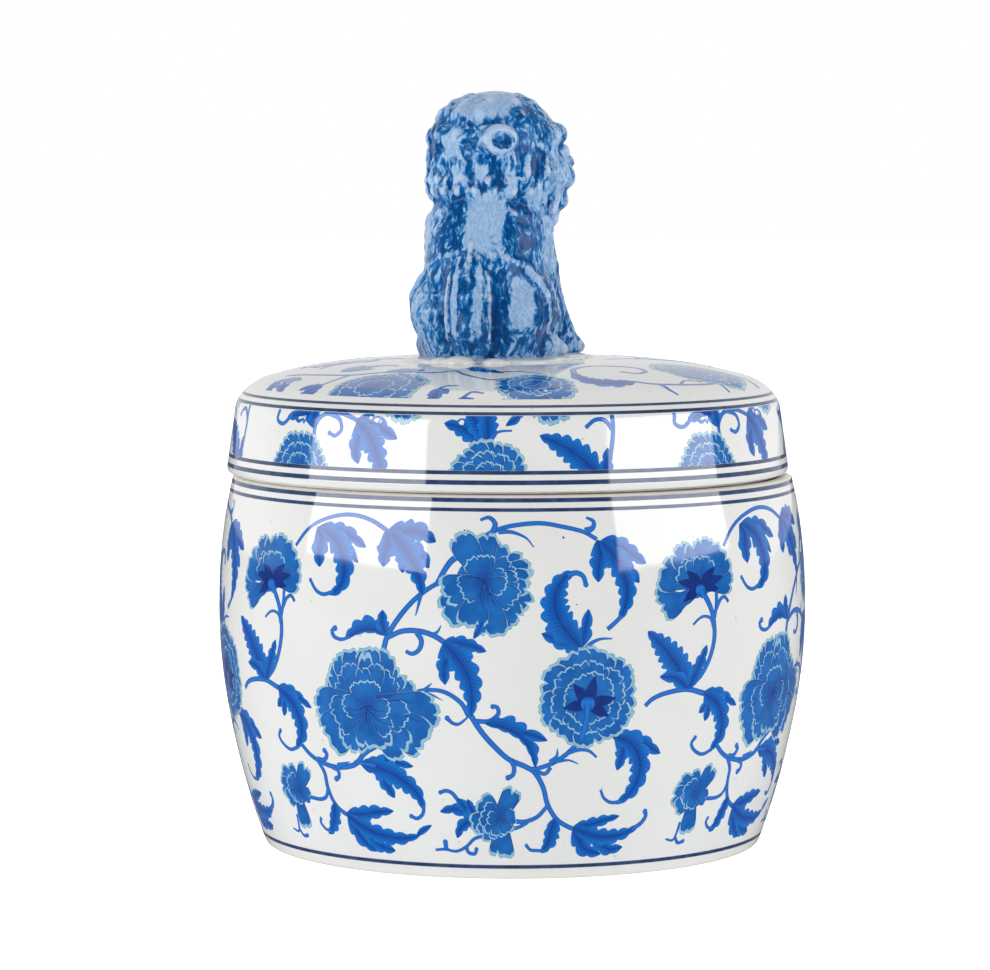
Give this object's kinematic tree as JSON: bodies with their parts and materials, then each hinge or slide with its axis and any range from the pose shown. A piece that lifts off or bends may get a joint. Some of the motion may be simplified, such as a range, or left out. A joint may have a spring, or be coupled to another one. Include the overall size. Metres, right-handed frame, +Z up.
{
  "type": "lidded porcelain trinket jar",
  "caption": "Round blue-and-white glazed porcelain jar with a lift-off domed lid and a seated guardian lion as the lid's handle.",
  "frame": {"origin": "centre of the circle that the foot ring rests on", "axes": "+Z up along the jar's axis, -Y towards the viewer who sees the lion from behind, +X to that viewer's right"},
  "size_m": [0.178, 0.178, 0.2277],
  "materials": {
    "porcelain": "gloss",
    "cobalt_glaze": "gloss"
  },
  "bodies": {
    "jar": {"jar_body": "porcelain"},
    "lid_carrier": {"lid_flange": "porcelain"},
    "lid": {"lid_dome": "porcelain", "finial_pad": "porcelain", "lion_torso": "cobalt_glaze", "lion_head": "cobalt_glaze", "lion_tail": "cobalt_glaze", "lion_foreleg_left": "cobalt_glaze", "lion_foreleg_right": "cobalt_glaze", "lion_hindleg_left": "cobalt_glaze", "lion_hindleg_right": "cobalt_glaze"}
  },
  "joints": [
    {"name": "lid_lift", "type": "slide", "parent": "jar", "child": "lid_carrier", "axis": [0, 0, 1], "range_m": [0, 0.12]},
    {"name": "lid_turn", "type": "hinge", "parent": "lid_carrier", "child": "lid", "pos_m": [-0.0014, 0, 0.112], "axis": [0, 0, 1], "continuous": true}
  ]
}
